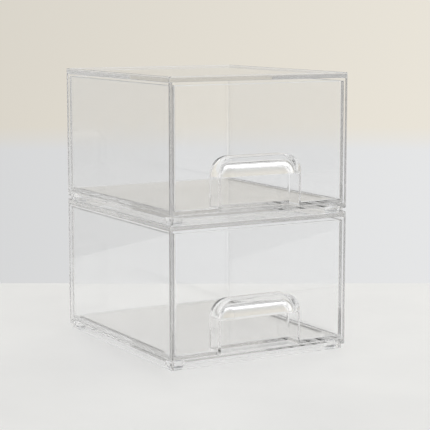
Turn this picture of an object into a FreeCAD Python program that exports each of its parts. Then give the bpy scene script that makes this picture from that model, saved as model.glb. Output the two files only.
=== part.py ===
"""Two stacked clear storage drawer units, each a moulded case holding one moulded drawer.

Millimetres. The origin is the middle of the footprint on the standing surface, with +Z up.
The drawer fronts face -Y, and each drawer slides out along -Y. Every piece is drawn in its
own frame, from the middle of its front edge at its lowest point, and placed from there.
"""
import FreeCAD, Part
import os

from FreeCAD import Vector
import Sketcher

DRIVING_SIZES = [
    ("case_width", 165.1),          # outside, side to side
    ("case_depth", 190.5),          # outside, front to back
    ("unit_height", 115.5),         # one unit, pad underside to rim top
    ("case_wall", 2.5),             # side walls and back wall
    ("case_floor", 2.5),
    ("skirt_height", 1.8),          # how far the walls reach below the floor
    ("case_top", 3.2),
    ("case_corner_radius", 1.5),    # upright outside corners
    ("case_edge_radius", 0.8),      # underside outline
    ("mouth_edge_radius", 0.4),     # round the front opening
    ("hollow_radius", 0.6),         # long inside corners
    ("rim_height", 1.2),            # stacking rim, above the top plate
    ("rim_width", 2.0),
    ("rim_edge_radius", 0.5),
    ("nest_clearance", 0.4),        # between the rim and the foot ring above it
    ("foot_height", 3.7),           # foot ring, below the skirt
    ("foot_wall", 2.2),
    ("pad_diameter", 9.0),
    ("pad_thickness", 1.6),
    ("pad_proud", 0.3),             # how far a pad stands below the foot ring
    ("pad_edge_radius", 0.4),
    ("seat_margin", 1.2),           # moulded seat, wider than its pad all round
    ("seat_merge", 0.5),            # how far a seat runs into the foot ring
    ("side_gap", 0.5),              # between drawer and case, each side
    ("back_gap", 0.5),
    ("front_recess", 0.5),          # drawer front behind the mouth of the case
    ("top_gap", 2.3),               # drawer rim below the top plate
    ("drawer_wall", 2.4),
    ("drawer_floor", 2.5),
    ("drawer_corner_radius", 1.5),  # upright outside corners
    ("drawer_inner_radius", 1.0),   # inside corners and round the floor
    ("drawer_rim_radius", 0.5),
    ("drawer_edge_radius", 0.6),    # underside outline
    ("runner_height", 0.5),
    ("runner_width", 3.0),
    ("runner_inset", 5.0),          # from the drawer's side
    ("runner_start", 24.0),         # from the drawer's front
    ("runner_end", 8.0),            # from the drawer's back
    ("pull_width", 77.3),           # outside of the hood
    ("pull_height", 42.6),          # drawer underside to hood top
    ("pull_depth", 18.2),           # drawer front to the back of the hood
    ("pull_wall", 2.2),
    ("pull_ceiling", 4.6),          # above the cavity
    ("pull_shoulder_radius", 15.0), # the top corners of the hood, seen from the front
    ("pull_back_radius", 2.6),      # round the back of the hood
    ("pull_lip", 16.0),             # the front lip that fingers hook behind
    ("scoop_margin", 0.2),          # by which the scoop stays inside what bounds it
    ("cavity_corner_radius", 0.4),  # the upright back corners of the cavity
    ("window_edge_radius", 0.6),
]

DERIVED_SIZES = [
    ("stack_pitch", "=unit_height - rim_height"),
    ("case_base", "=pad_proud + foot_height"),
    ("case_height", "=unit_height - case_base"),
    ("hollow_width", "=case_width - 2 * case_wall"),
    ("floor_underside", "=case_base + skirt_height"),
    ("hollow_base", "=floor_underside + case_floor"),
    ("hollow_height", "=unit_height - rim_height - case_top - hollow_base"),
    ("rim_opening_width", "=case_width - 2 * rim_width"),
    ("rim_opening_depth", "=case_depth - 2 * rim_width"),
    ("foot_inset", "=rim_width + nest_clearance"),
    ("foot_width", "=case_width - 2 * foot_inset"),
    ("foot_depth", "=case_depth - 2 * foot_inset"),
    ("foot_inner_width", "=foot_width - 2 * foot_wall"),
    ("foot_inner_depth", "=foot_depth - 2 * foot_wall"),
    ("foot_inner_front", "=foot_inset + foot_wall"),
    ("seat_radius", "=pad_diameter / 2 + seat_margin"),
    ("seat_spread", "=foot_inner_width / 2 - seat_radius + seat_merge"),
    ("seat_front", "=foot_inner_front + seat_radius - seat_merge"),
    ("seat_back", "=case_depth - seat_front"),
    ("drawer_width", "=hollow_width - 2 * side_gap"),
    ("drawer_depth", "=case_depth - case_wall - back_gap - front_recess"),
    ("drawer_height", "=hollow_height - top_gap"),
    ("tray_height", "=drawer_height - runner_height"),
    ("tray_inner_width", "=drawer_width - 2 * drawer_wall"),
    ("tray_inner_depth", "=drawer_depth - 2 * drawer_wall"),
    ("tray_hollow_depth", "=tray_height - drawer_floor"),
    ("runner_length", "=drawer_depth - runner_start - runner_end"),
    ("runner_spread", "=drawer_width / 2 - runner_inset - runner_width"),
    ("pull_top", "=runner_height + pull_height"),
    ("pull_cavity_width", "=pull_width - 2 * pull_wall"),
    ("pull_cavity_top", "=pull_top - pull_ceiling"),
    ("pull_cavity_depth", "=pull_depth - pull_wall - drawer_wall"),
    ("pull_root", "=drawer_wall / 2"),
    ("pull_hood_depth", "=pull_depth - pull_root"),
    ("window_top", "=pull_top - pull_lip"),
    ("cavity_shoulder_radius", "=pull_shoulder_radius - pull_wall"),
    ("scoop_room", "=pull_cavity_depth - cavity_corner_radius"),
    ("scoop_radius", "=min(scoop_room; cavity_shoulder_radius) - scoop_margin"),
    ("window_cut_depth", "=pull_depth - pull_wall - cavity_corner_radius"),
]

LEVELS = [("lower", 0), ("upper", 1)]
TOLERANCE = 1e-4

doc = FreeCAD.newDocument("DrawerStack")
sheet = doc.addObject("Spreadsheet::Sheet", "sizes")
for row, (name, value) in enumerate(DRIVING_SIZES + DERIVED_SIZES, start=1):
    sheet.set("A%d" % row, name)
    sheet.set("B%d" % row, str(value))
    sheet.setAlias("B%d" % row, name)
doc.recompute()


def size(name):
    """The present value of one cell, in millimetres."""
    return float(sheet.get(name))


def from_sheet(formula):
    """A formula over the sheet's names, with each name given its sheet."""
    known = {name for name, value in DRIVING_SIZES + DERIVED_SIZES}
    words = formula.replace("(", " ( ").replace(")", " ) ").split()
    return " ".join("sizes." + word if word in known else word for word in words)


def bind(target, prop, formula):
    target.setExpression(prop, from_sheet(formula))


# ---- sketches and features -------------------------------------------------------------

def new_body(label):
    body = doc.addObject("PartDesign::Body", label)
    body.Label = label
    return body


def new_sketch(body, name, plane, offset=None):
    """A sketch on one of the body's own origin planes, raised along the plane's normal."""
    sketch = body.newObject("Sketcher::SketchObject", body.Label + "_" + name)
    origin_plane = [item for item in body.Origin.OriginFeatures if item.Role == plane][0]
    sketch.AttachmentSupport = [(origin_plane, "")]
    sketch.MapMode = "FlatFace"
    if offset is not None:
        bind(sketch, "AttachmentOffset.Base.z", offset)
    return sketch


def bound_constraint(sketch, kind, points, formula):
    """A dimension that follows the sheet."""
    number = sketch.addConstraint(Sketcher.Constraint(kind, *points, 1.0))
    bind(sketch, "Constraints[%d]" % number, formula)


def add_rectangle(sketch, width, start, length, middle=None):
    """A rectangle that begins at start up the sheet, and is centred left to right.

    With middle, its centre line stands that far to the right of the axis.
    """
    corners = [Vector(-1, 2, 0), Vector(1, 2, 0), Vector(1, 4, 0), Vector(-1, 4, 0)]  # moved below
    first = sketch.GeometryCount
    for here, there in zip(corners, corners[1:] + corners[:1]):
        sketch.addGeometry(Part.LineSegment(here, there), False)
    for side in range(4):
        following = first + (side + 1) % 4
        sketch.addConstraint(Sketcher.Constraint("Coincident", first + side, 2, following, 1))
    for side, direction in ((1, "Vertical"), (2, "Horizontal"), (3, "Vertical")):
        sketch.addConstraint(Sketcher.Constraint(direction, first + side))
    bound_constraint(sketch, "DistanceX", (first, 1, first, 2), width)
    bound_constraint(sketch, "DistanceY", (first + 1, 1, first + 1, 2), length)
    if middle is None:
        sketch.addConstraint(Sketcher.Constraint("Symmetric", first, 1, first, 2, -2))
    else:
        sketch.addConstraint(Sketcher.Constraint("Horizontal", first))
        bound_constraint(sketch, "DistanceX", (-1, 1, first, 1), "%s - ( %s ) / 2" % (middle, width))
    if start is None:
        sketch.addConstraint(Sketcher.Constraint("PointOnObject", first, 1, -1))
    else:
        bound_constraint(sketch, "DistanceY", (-1, 1, first, 1), start)


def add_circle(sketch, diameter):
    """A circle round the sketch's own origin."""
    number = sketch.addGeometry(Part.Circle(Vector(0, 0, 0), Vector(0, 0, 1), 1), False)
    sketch.addConstraint(Sketcher.Constraint("Coincident", number, 3, -1, 1))
    bound_constraint(sketch, "Diameter", (number,), diameter)


def pad(body, name, sketch, length, backwards=False):
    feature = body.newObject("PartDesign::Pad", body.Label + "_" + name)
    feature.Profile = sketch
    feature.Reversed = backwards
    bind(feature, "Length", length)
    doc.recompute()
    return feature


def pocket(body, name, sketch, length, upwards=False):
    """A cut, refused if it takes nothing away."""
    before = body.Tip.Shape.Volume
    feature = body.newObject("PartDesign::Pocket", body.Label + "_" + name)
    feature.Profile = sketch
    feature.Reversed = upwards
    bind(feature, "Length", length)
    doc.recompute()
    if feature.Shape.Volume > before - TOLERANCE:
        raise RuntimeError("%s cuts nothing" % feature.Label)
    return feature


def fillet(body, name, radius, chosen):
    """Round every edge of the body so far that the test picks."""
    base = body.Tip
    names = ["Edge%d" % (i + 1) for i, edge in enumerate(base.Shape.Edges) if chosen(edge.BoundBox)]
    if not names:
        raise RuntimeError("%s finds no edge to round" % name)
    feature = body.newObject("PartDesign::Fillet", body.Label + "_" + name)
    feature.Base = (base, names)
    bind(feature, "Radius", radius)
    doc.recompute()
    return feature


# ---- tests that pick edges, by the box round each edge -----------------------------------

def same(one, other):
    return abs(one - other) < TOLERANCE


def upright(box):
    """Straight up and down."""
    return same(box.XLength, 0) and same(box.YLength, 0) and box.ZLength > TOLERANCE


def along_depth(box):
    """Straight from front to back."""
    return same(box.XLength, 0) and same(box.ZLength, 0) and box.YLength > TOLERANCE


def flat_at(box, height):
    """Level, at one height."""
    return same(box.ZMin, height) and same(box.ZMax, height)


def in_front_plane(box, distance):
    """Wholly at one distance from the front."""
    return same(box.YMin, distance) and same(box.YMax, distance)


# ---- the pieces ----------------------------------------------------------------------------

def make_case(label, level):
    """Open-front case: walls, floor, top plate with its rim, skirt, foot ring and pad seats."""
    body = new_body(label)
    outline = new_sketch(body, "outline", "XY_Plane", "case_base")
    add_rectangle(outline, "case_width", None, "case_depth")
    pad(body, "block", outline, "case_height")
    fillet(body, "corners", "case_corner_radius", upright)

    rim_opening = new_sketch(body, "rim_opening", "XY_Plane", "unit_height")
    add_rectangle(rim_opening, "rim_opening_width", "rim_width", "rim_opening_depth")
    pocket(body, "top_recess", rim_opening, "rim_height")
    fillet(body, "rim_edges", "rim_edge_radius", lambda box: flat_at(box, size("unit_height")))
    fillet(body, "underside_edges", "case_edge_radius", lambda box: flat_at(box, size("case_base")))

    mouth = new_sketch(body, "mouth", "XZ_Plane")
    add_rectangle(mouth, "hollow_width", "hollow_base", "hollow_height")
    pocket(body, "hollow", mouth, "case_depth - case_wall")
    inner_side = size("hollow_width") / 2
    fillet(body, "hollow_corners", "hollow_radius",
           lambda box: along_depth(box) and same(abs(box.XMax), inner_side))
    fillet(body, "mouth_edges", "mouth_edge_radius",
           lambda box: in_front_plane(box, 0) and box.XMin > -inner_side - TOLERANCE
           and box.XMax < inner_side + TOLERANCE and box.ZMin > size("hollow_base") - TOLERANCE
           and box.ZMax < size("hollow_base") + size("hollow_height") + TOLERANCE)

    underside = new_sketch(body, "underside", "XY_Plane", "case_base")
    add_rectangle(underside, "foot_inner_width", "foot_inner_front", "foot_inner_depth")
    pocket(body, "underside_recess", underside, "skirt_height", upwards=True)

    ring = new_sketch(body, "foot_ring", "XY_Plane", "pad_proud")
    add_rectangle(ring, "foot_width", "foot_inset", "foot_depth")
    add_rectangle(ring, "foot_inner_width", "foot_inner_front", "foot_inner_depth")
    pad(body, "foot", ring, "foot_height")

    for end in ("seat_front", "seat_back"):
        for side in (-1, 1):
            seat = new_sketch(body, "pad_seat", "XY_Plane", "pad_thickness")
            bind(seat, "AttachmentOffset.Base.x", "%d * seat_spread" % side)
            bind(seat, "AttachmentOffset.Base.y", end)
            add_circle(seat, "2 * seat_radius")
            pad(body, "seat", seat, "floor_underside - pad_thickness")

    bind(body, "Placement.Base.y", "-0.5 * case_depth")
    bind(body, "Placement.Base.z", "%d * stack_pitch" % level)
    return body


def make_drawer(label, level):
    """Open-topped drawer with runners below and a hooded pull moulded into its front."""
    body = new_body(label)
    outline = new_sketch(body, "outline", "XY_Plane", "runner_height")
    add_rectangle(outline, "drawer_width", None, "drawer_depth")
    pad(body, "block", outline, "tray_height")
    fillet(body, "corners", "drawer_corner_radius", upright)

    inside = new_sketch(body, "inside", "XY_Plane", "drawer_height")
    add_rectangle(inside, "tray_inner_width", "drawer_wall", "tray_inner_depth")
    pocket(body, "hollow", inside, "tray_hollow_depth")
    inner_side = size("tray_inner_width") / 2
    inner_back = size("drawer_wall") + size("tray_inner_depth")
    floor_top = size("runner_height") + size("drawer_floor")
    fillet(body, "inner_corners", "drawer_inner_radius",
           lambda box: upright(box) and same(abs(box.XMin), inner_side)
           and (same(box.YMin, inner_back) or same(box.YMin, size("drawer_wall"))))
    fillet(body, "floor_edges", "drawer_inner_radius", lambda box: flat_at(box, floor_top))
    fillet(body, "rim_edges", "drawer_rim_radius", lambda box: flat_at(box, size("drawer_height")))
    fillet(body, "underside_edges", "drawer_edge_radius",
           lambda box: flat_at(box, size("runner_height")))

    add_pull(body)

    for side in (-1, 1):
        runner = new_sketch(body, "runner_outline", "XY_Plane")
        middle = "%d * ( runner_spread + runner_width / 2 )" % side
        add_rectangle(runner, "runner_width", "runner_start", "runner_length", middle)
        pad(body, "runner", runner, "runner_height")

    bind(body, "Placement.Base.y", "front_recess - 0.5 * case_depth")
    bind(body, "Placement.Base.z", "%d * stack_pitch + hollow_base" % level)
    return body


def add_pull(body):
    """The hooded finger pull: a rounded hood behind the front wall, open below and in front.

    The hood grows from the middle of the front wall. Behind the lip its cavity is a scoop that
    curves up into the ceiling, and below the lip the cavity's sides are plain.
    """
    cavity_side = size("pull_cavity_width") / 2
    cavity_back = size("pull_depth") - size("pull_wall")
    behind_front = size("drawer_wall") + TOLERANCE
    hood = new_sketch(body, "hood", "XZ_Plane", "-1 * pull_root")
    add_rectangle(hood, "pull_width", "runner_height", "pull_height")
    pad(body, "pull_hood", hood, "pull_hood_depth", backwards=True)
    cavity = new_sketch(body, "cavity", "XZ_Plane", "-1 * drawer_wall")
    add_rectangle(cavity, "pull_cavity_width", None, "pull_cavity_top")
    pocket(body, "pull_cavity", cavity, "pull_cavity_depth")

    fillet(body, "cavity_shoulders", "cavity_shoulder_radius",
           lambda box: along_depth(box) and same(box.ZMax, size("pull_cavity_top"))
           and box.YMax > behind_front)
    fillet(body, "cavity_scoop", "scoop_radius",
           lambda box: in_front_plane(box, size("drawer_wall"))
           and flat_at(box, size("pull_cavity_top")))
    fillet(body, "cavity_corners", "cavity_corner_radius",
           lambda box: upright(box) and same(abs(box.XMax), cavity_side) and same(box.YMax, cavity_back))
    fillet(body, "hood_shoulders", "pull_shoulder_radius",
           lambda box: along_depth(box) and same(box.ZMax, size("pull_top"))
           and box.YMax > behind_front)
    fillet(body, "hood_back", "pull_back_radius",
           lambda box: in_front_plane(box, size("pull_depth")) and flat_at(box, size("pull_top")))

    window = new_sketch(body, "window", "XZ_Plane")
    add_rectangle(window, "pull_cavity_width", None, "window_top")
    pocket(body, "pull_window", window, "window_cut_depth")
    fillet(body, "window_edges", "window_edge_radius",
           lambda box: in_front_plane(box, 0) and abs(box.XMin) < cavity_side + TOLERANCE
           and box.ZMax < size("window_top") + TOLERANCE and box.ZMin > size("runner_height"))


def make_pad(label, level, side, end):
    """Soft non-slip pad under one corner of a case."""
    body = new_body(label)
    outline = new_sketch(body, "outline", "XY_Plane")
    add_circle(outline, "pad_diameter")
    pad(body, "disc", outline, "pad_thickness")
    fillet(body, "edge", "pad_edge_radius", lambda box: flat_at(box, 0))
    bind(body, "Placement.Base.x", "%d * seat_spread" % side)
    bind(body, "Placement.Base.y", "%s - 0.5 * case_depth" % end)
    bind(body, "Placement.Base.z", "%d * stack_pitch" % level)
    return body


pieces = []
for level_name, level in LEVELS:
    pieces.append(make_case(level_name + "_case", level))
    pieces.append(make_drawer(level_name + "_drawer", level))
    for end_name, end in (("front", "seat_front"), ("back", "seat_back")):
        for side_name, side in (("left", -1), ("right", 1)):
            pad_label = "%s_pad_%s_%s" % (level_name, end_name, side_name)
            pieces.append(make_pad(pad_label, level, side, end))
doc.recompute()

for item in doc.Objects:
    if "Invalid" in item.State or "Error" in item.State:
        raise RuntimeError("%s failed: %s" % (item.Label, item.State))
for piece in pieces:
    shape = piece.Shape
    if shape.isNull() or not shape.isValid() or len(shape.Solids) != 1:
        raise RuntimeError("%s is not one valid solid" % piece.Label)

os.makedirs("parts", exist_ok=True)
for piece in pieces:
    piece.Shape.exportStep("parts/%s.step" % piece.Label)
    box = piece.Shape.BoundBox
    print("%-26s %8.2f cm3  z %.2f to %.2f" % (piece.Label, piece.Shape.Volume / 1000, box.ZMin, box.ZMax))
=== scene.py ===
import bmesh
import bpy
import math
from mathutils import Matrix, Vector


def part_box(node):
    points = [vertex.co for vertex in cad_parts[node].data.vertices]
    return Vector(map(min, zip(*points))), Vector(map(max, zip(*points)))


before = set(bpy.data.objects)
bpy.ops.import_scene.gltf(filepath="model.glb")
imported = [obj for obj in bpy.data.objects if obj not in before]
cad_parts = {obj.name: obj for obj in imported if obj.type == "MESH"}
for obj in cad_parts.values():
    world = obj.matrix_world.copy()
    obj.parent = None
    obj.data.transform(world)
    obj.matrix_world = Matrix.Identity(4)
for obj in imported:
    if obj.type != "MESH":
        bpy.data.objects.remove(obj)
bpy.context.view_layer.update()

MM = 0.001
scene = bpy.context.scene

# ---- camera values --------------------------------------------------------------------------

CAMERA_PLACE = Vector((-605.0, -1071.2, 279.3)) * MM
CAMERA_YAW = math.radians(29.95)        # turned from +Y towards +X
CAMERA_PITCH = math.radians(7.99)       # below level
CAMERA_LENS = 121.8
SENSOR_WIDTH = 36.0
CLIP_START, CLIP_END = 0.02, 60.0

# Level directions: along the line of sight, and to the camera's right.
AWAY = Vector((math.sin(CAMERA_YAW), math.cos(CAMERA_YAW), 0.0))
ACROSS = Vector((math.cos(CAMERA_YAW), -math.sin(CAMERA_YAW), 0.0))

# ---- room and lamp values -------------------------------------------------------------------

# Each stop is an angle above level in degrees, and the room's colour there.
SKY_BEHIND = [
    (-90.0, (0.72, 0.725, 0.73)),
    (-5.1, (0.72, 0.725, 0.73)),
    (-4.8, (0.75, 0.71, 0.63)),
    (2.0, (0.74, 0.705, 0.63)),
    (8.0, (0.62, 0.60, 0.56)),
    (20.0, (0.60, 0.595, 0.58)),
    (60.0, (0.60, 0.60, 0.60)),
    (90.0, (0.60, 0.60, 0.60)),
]
SKY_AROUND = [
    (-90.0, (0.68, 0.68, 0.68)),
    (-3.0, (0.68, 0.675, 0.66)),
    (3.0, (0.68, 0.67, 0.65)),
    (9.0, (0.88, 0.87, 0.85)),
    (16.0, (0.98, 0.97, 0.95)),
    (32.0, (0.85, 0.85, 0.84)),
    (45.0, (0.50, 0.50, 0.50)),
    (90.0, (0.50, 0.50, 0.50)),
]
BEHIND_FADES = (0.86, 0.94)             # how far a direction goes AWAY where one sky gives way
SIDE_RUN = (-0.2, 0.4)                  # how far it goes ACROSS where the room brightens
SIDE_STRENGTH = (0.92, 1.22)            # the world's strength at each end of that run

# Each lamp is a square softbox: its place, its aim, its side and its watts.
LAMPS = {
    "top_softbox": (Vector((-0.1, 0.1, 1.4)), Vector((0.0, 0.0, 0.1)), 1.2, 5.5),
    "back_softbox": (AWAY * 0.37 + ACROSS * 0.64 + Vector((0.0, 0.0, 1.35)),
                     Vector((0.0, 0.0, 0.12)), 0.95, 3.7),
}

MOST_BOUNCES = 96                       # light runs a long way inside a clear wall
BOUNCES = 64

# ---- table values ---------------------------------------------------------------------------

TABLE_BEHIND = 0.252                    # how far it runs past the middle of the object
TABLE_BEFORE = 4.0
TABLE_BESIDE = 4.0
TABLE_DARK = (0.80, 0.80, 0.79)
TABLE_LIGHT = (0.86, 0.86, 0.845)
TABLE_CLOUDS = 5.0                      # noise scales are in cells a metre
CLOUD_RUN = (0.35, 0.65)                # the noise that goes from the dark tone to the light one
TABLE_GRAIN = 160.0
GRAIN_RUN = (0.3, 0.7)                  # the noise that goes from one roughness to the other
TABLE_ROUGHNESS = (0.30, 0.38)

# ---- clear plastic values -------------------------------------------------------------------

PITCH = 114.3 * MM                      # what each unit adds to the stack
CASE_BASE = 4.0 * MM                    # the lowest edge of a case's walls

CLEAR_TINT = (0.997, 0.998, 0.999)
CLEAR_SHADOW = (0.985, 0.985, 0.987)    # what one face lets through to a shadow
CLEAR_DEPTH = (0.90, 0.90, 0.90)        # this and the density grey a long run in the plastic
CLEAR_DENSITY = 14.0
CLEAR_IOR = 1.49

RIPPLE_CELLS = 14.0
RIPPLE_HEIGHT = 0.002 * MM
PATCH_CELLS = 40.0                      # the haze comes in patches made of fine scuffs
SCUFF_CELLS = 900.0
SCUFF_STRETCH = (1.0, 1.0, 0.2)         # scuffs run up and down
HAZE_RUN = (0.2, 0.4)                   # patches times scuffs, from no haze to the most
MOST_HAZE = 0.08
WEAR_WIDTH = 2.2 * MM                   # how far in from an outer edge the plastic is rubbed
EDGE_ROUGHNESS = 0.32

PAD_TINT = (0.96, 0.965, 0.97)
PAD_IOR = 1.42
PAD_GRAIN = 2500.0
PAD_GRAIN_HEIGHT = 0.02 * MM
PAD_GRAIN_STRENGTH = 0.4
PAD_ROUGHNESS = (0.15, 0.25)


# ---- node helpers ---------------------------------------------------------------------------

class Nodes:
    """A node tree under construction."""

    def __init__(self, tree):
        self.tree = tree
        self.tree.nodes.clear()

    def add(self, kind, inputs=None, **settings):
        """A node with its settings made, and each input given a value or joined to an output."""
        node = self.tree.nodes.new(kind)
        for name, value in settings.items():
            setattr(node, name, value)
        for name, value in (inputs or {}).items():
            if isinstance(value, bpy.types.NodeSocket):
                self.tree.links.new(value, node.inputs[name])
            else:
                node.inputs[name].default_value = value
        return node

    def maths(self, operation, *values):
        node = self.add("ShaderNodeMath", dict(enumerate(values)), operation=operation)
        return node.outputs[0]

    def noise(self, place, cells, detail):
        """Noise round a half, with its scale in cells a metre."""
        node = self.add("ShaderNodeTexNoise", {"Vector": place, "Scale": cells, "Detail": detail})
        return node.outputs["Fac"]

    def between(self, value, low, high, first, last):
        """Value, with low to high turned into first to last."""
        return self.add("ShaderNodeMapRange", {
            "Value": value, "From Min": low, "From Max": high, "To Min": first, "To Max": last,
        }).outputs["Result"]

    def blend(self, factor, first, last):
        """The colour that goes from first to last as factor goes from 0 to 1."""
        return self.add("ShaderNodeMix", {
            "Factor": factor, "A": first, "B": last,
        }, data_type="RGBA").outputs["Result"]

    def bumps(self, height, rise, strength=1.0):
        return self.add("ShaderNodeBump", {
            "Strength": strength, "Distance": rise, "Height": height,
        }).outputs["Normal"]

    def finish(self, surface, volume=None):
        output = self.add("ShaderNodeOutputMaterial", {"Surface": surface})
        if volume is not None:
            self.tree.links.new(volume, output.inputs["Volume"])


def new_material(name):
    """A bare material, its node tree, and the coordinates of the piece that wears it."""
    material = bpy.data.materials.new(name)
    material.use_nodes = True
    nodes = Nodes(material.node_tree)
    return material, nodes, nodes.add("ShaderNodeTexCoord").outputs["Object"]


# ---- camera, room and lamps -----------------------------------------------------------------

def add_camera():
    data = bpy.data.cameras.new("camera")
    data.lens = CAMERA_LENS
    data.sensor_width = SENSOR_WIDTH
    data.clip_start = CLIP_START
    data.clip_end = CLIP_END
    camera = bpy.data.objects.new("camera", data)
    scene.collection.objects.link(camera)
    camera.location = CAMERA_PLACE
    camera.rotation_euler = (math.pi / 2 - CAMERA_PITCH, 0.0, -CAMERA_YAW)
    scene.camera = camera


def sky_ramp(nodes, height, stops):
    """The colours of stops by height, which goes from 0, straight down, to 1, straight up."""
    ramp = nodes.add("ShaderNodeValToRGB", {"Fac": height})
    elements = ramp.color_ramp.elements
    while len(elements) < len(stops):
        elements.new(0.5)
    for element, (degrees, colour) in zip(elements, stops):
        element.position = 0.5 + 0.5 * math.sin(math.radians(degrees))
        element.color = (*colour, 1.0)
    return ramp.outputs["Color"]


def make_room():
    """A pale room: one run of colours up the wall behind the object, another everywhere else."""
    world = bpy.data.worlds.new("room")
    world.use_nodes = True
    scene.world = world
    nodes = Nodes(world.node_tree)
    place = nodes.add("ShaderNodeTexCoord").outputs["Generated"]

    def along(direction):
        node = nodes.add("ShaderNodeVectorMath", {0: place, 1: direction}, operation="DOT_PRODUCT")
        return node.outputs["Value"]

    rise = nodes.add("ShaderNodeSeparateXYZ", {0: place}).outputs["Z"]
    height = nodes.between(rise, -1.0, 1.0, 0.0, 1.0)
    behind = nodes.between(along(AWAY), *BEHIND_FADES, 0.0, 1.0)
    back = nodes.add("ShaderNodeBackground", {
        "Color": nodes.blend(behind, sky_ramp(nodes, height, SKY_AROUND),
                             sky_ramp(nodes, height, SKY_BEHIND)),
        "Strength": nodes.between(along(ACROSS), *SIDE_RUN, *SIDE_STRENGTH),
    })
    nodes.add("ShaderNodeOutputWorld", {"Surface": back.outputs[0]})


def add_lamp(name, place, aim, side, watts):
    data = bpy.data.lights.new(name, "AREA")
    data.size = side
    data.energy = watts
    lamp = bpy.data.objects.new(name, data)
    scene.collection.objects.link(lamp)
    lamp.location = place
    lamp.rotation_mode = "QUATERNION"
    lamp.rotation_quaternion = (aim - place).to_track_quat("-Z", "Y")


# ---- stage ----------------------------------------------------------------------------------

def stone_finish():
    """A pale polished stone worktop with faint grey clouds."""
    material, nodes, place = new_material("table_top")
    clouds = nodes.between(nodes.noise(place, TABLE_CLOUDS, 6.0), *CLOUD_RUN, 0.0, 1.0)
    grain = nodes.noise(place, TABLE_GRAIN, 4.0)
    shader = nodes.add("ShaderNodeBsdfPrincipled", {
        "Base Color": nodes.blend(clouds, (*TABLE_DARK, 1.0), (*TABLE_LIGHT, 1.0)),
        "Roughness": nodes.between(grain, *GRAIN_RUN, *TABLE_ROUGHNESS),
    })
    nodes.finish(shader.outputs[0])
    return material


def add_table():
    """A table top that ends a little behind the object, square to the line of sight."""
    half_run = (TABLE_BEFORE + TABLE_BEHIND) / 2
    shape = bmesh.new()
    bmesh.ops.create_grid(shape, x_segments=1, y_segments=1, size=1.0)
    bmesh.ops.scale(shape, vec=(TABLE_BESIDE, half_run, 1.0), verts=shape.verts)
    bmesh.ops.translate(shape, vec=(0.0, TABLE_BEHIND - half_run, 0.0), verts=shape.verts)
    bmesh.ops.rotate(shape, matrix=Matrix.Rotation(-CAMERA_YAW, 3, "Z"), verts=shape.verts)
    mesh = bpy.data.meshes.new("table_top")
    shape.to_mesh(mesh)
    shape.free()
    mesh.materials.append(stone_finish())
    table = bpy.data.objects.new("table_top", mesh)
    scene.collection.objects.link(table)


# ---- finishes -------------------------------------------------------------------------------

def let_light_through(nodes, surface, colour):
    """Clear plastic throws no solid shadow: shadow and diffuse rays pass straight on."""
    path = nodes.add("ShaderNodeLightPath")
    passing = nodes.add("ShaderNodeBsdfTransparent", {"Color": (*colour, 1.0)}).outputs[0]
    for ray in ("Is Diffuse Ray", "Is Shadow Ray"):
        surface = nodes.add("ShaderNodeMixShader", {
            0: path.outputs[ray], 1: surface, 2: passing,
        }).outputs[0]
    return surface


def outer_edges(nodes, place, low, high):
    """1 on the edges of a box and 0 from WEAR_WIDTH in, for the box and its copy one unit up."""
    split = nodes.add("ShaderNodeSeparateXYZ", {0: place})
    near_side = []
    for axis in (0, 1):
        middle, half = (high[axis] + low[axis]) / 2, (high[axis] - low[axis]) / 2
        off = nodes.maths("ABSOLUTE", nodes.maths("SUBTRACT", split.outputs[axis], middle))
        near_side.append(nodes.between(off, half - WEAR_WIDTH, half, 0.0, 1.0))
    from_ends = [
        nodes.maths("PINGPONG", nodes.maths("SUBTRACT", split.outputs["Z"], end), PITCH / 2)
        for end in (low.z, high.z)
    ]
    near_end = nodes.between(nodes.maths("MINIMUM", *from_ends), 0.0, WEAR_WIDTH, 1.0, 0.0)
    upright = nodes.maths("MULTIPLY", *near_side)
    level = nodes.maths("MULTIPLY", nodes.maths("MAXIMUM", *near_side), near_end)
    return nodes.maths("MAXIMUM", upright, level)


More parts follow.
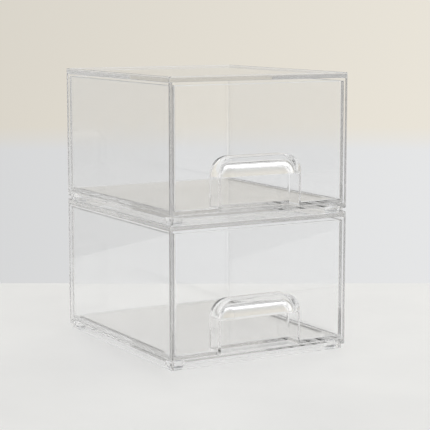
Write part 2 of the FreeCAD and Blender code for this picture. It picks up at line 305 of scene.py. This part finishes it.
def clear_moulding(name, low, high):
    """Polished clear plastic: a slow ripple, a faint haze of wear, and edges rubbed softer."""
    material, nodes, place = new_material(name)
    patches = nodes.noise(place, PATCH_CELLS, 3.0)
    drawn_out = nodes.add("ShaderNodeMapping", {"Vector": place, "Scale": SCUFF_STRETCH})
    scuffs = nodes.noise(drawn_out.outputs[0], SCUFF_CELLS, 2.0)
    haze = nodes.between(nodes.maths("MULTIPLY", patches, scuffs), *HAZE_RUN, 0.0, MOST_HAZE)
    rubbed = nodes.maths("MULTIPLY", outer_edges(nodes, place, low, high), EDGE_ROUGHNESS)
    shader = nodes.add("ShaderNodeBsdfPrincipled", {
        "Base Color": (*CLEAR_TINT, 1.0),
        "Roughness": nodes.maths("MAXIMUM", haze, rubbed),
        "IOR": CLEAR_IOR,
        "Transmission Weight": 1.0,
        "Normal": nodes.bumps(nodes.noise(place, RIPPLE_CELLS, 1.0), RIPPLE_HEIGHT),
    })
    depth = nodes.add("ShaderNodeVolumeAbsorption", {
        "Color": (*CLEAR_DEPTH, 1.0), "Density": CLEAR_DENSITY,
    })
    nodes.finish(let_light_through(nodes, shader.outputs[0], CLEAR_SHADOW), depth.outputs[0])
    return material


def soft_pad():
    """Soft see-through non-slip plastic with a fine matt grain."""
    material, nodes, place = new_material("clear_pad")
    grain = nodes.noise(place, PAD_GRAIN, 3.0)
    shader = nodes.add("ShaderNodeBsdfPrincipled", {
        "Base Color": (*PAD_TINT, 1.0),
        "Roughness": nodes.between(grain, *GRAIN_RUN, *PAD_ROUGHNESS),
        "IOR": PAD_IOR,
        "Transmission Weight": 1.0,
        "Normal": nodes.bumps(grain, PAD_GRAIN_HEIGHT, PAD_GRAIN_STRENGTH),
    })
    nodes.finish(let_light_through(nodes, shader.outputs[0], PAD_TINT))
    return material


def dress(node, material):
    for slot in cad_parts[node].material_slots:
        slot.link = "OBJECT"
        slot.material = material


# ---- the scene ------------------------------------------------------------------------------

scene.view_settings.view_transform = "Standard"
scene.cycles.max_bounces = MOST_BOUNCES
scene.cycles.transmission_bounces = BOUNCES
scene.cycles.glossy_bounces = BOUNCES
scene.cycles.transparent_max_bounces = BOUNCES

add_camera()
make_room()
add_table()
for name, values in LAMPS.items():
    add_lamp(name, *values)

case_low, case_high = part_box("lower_case")
case_low.z, case_high.z = CASE_BASE, PITCH      # without its foot ring and rim
case = clear_moulding("clear_case", case_low, case_high)
drawer = clear_moulding("clear_drawer", *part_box("lower_drawer"))
pad = soft_pad()
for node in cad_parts:
    dress(node, pad if "pad" in node else drawer if "drawer" in node else case)
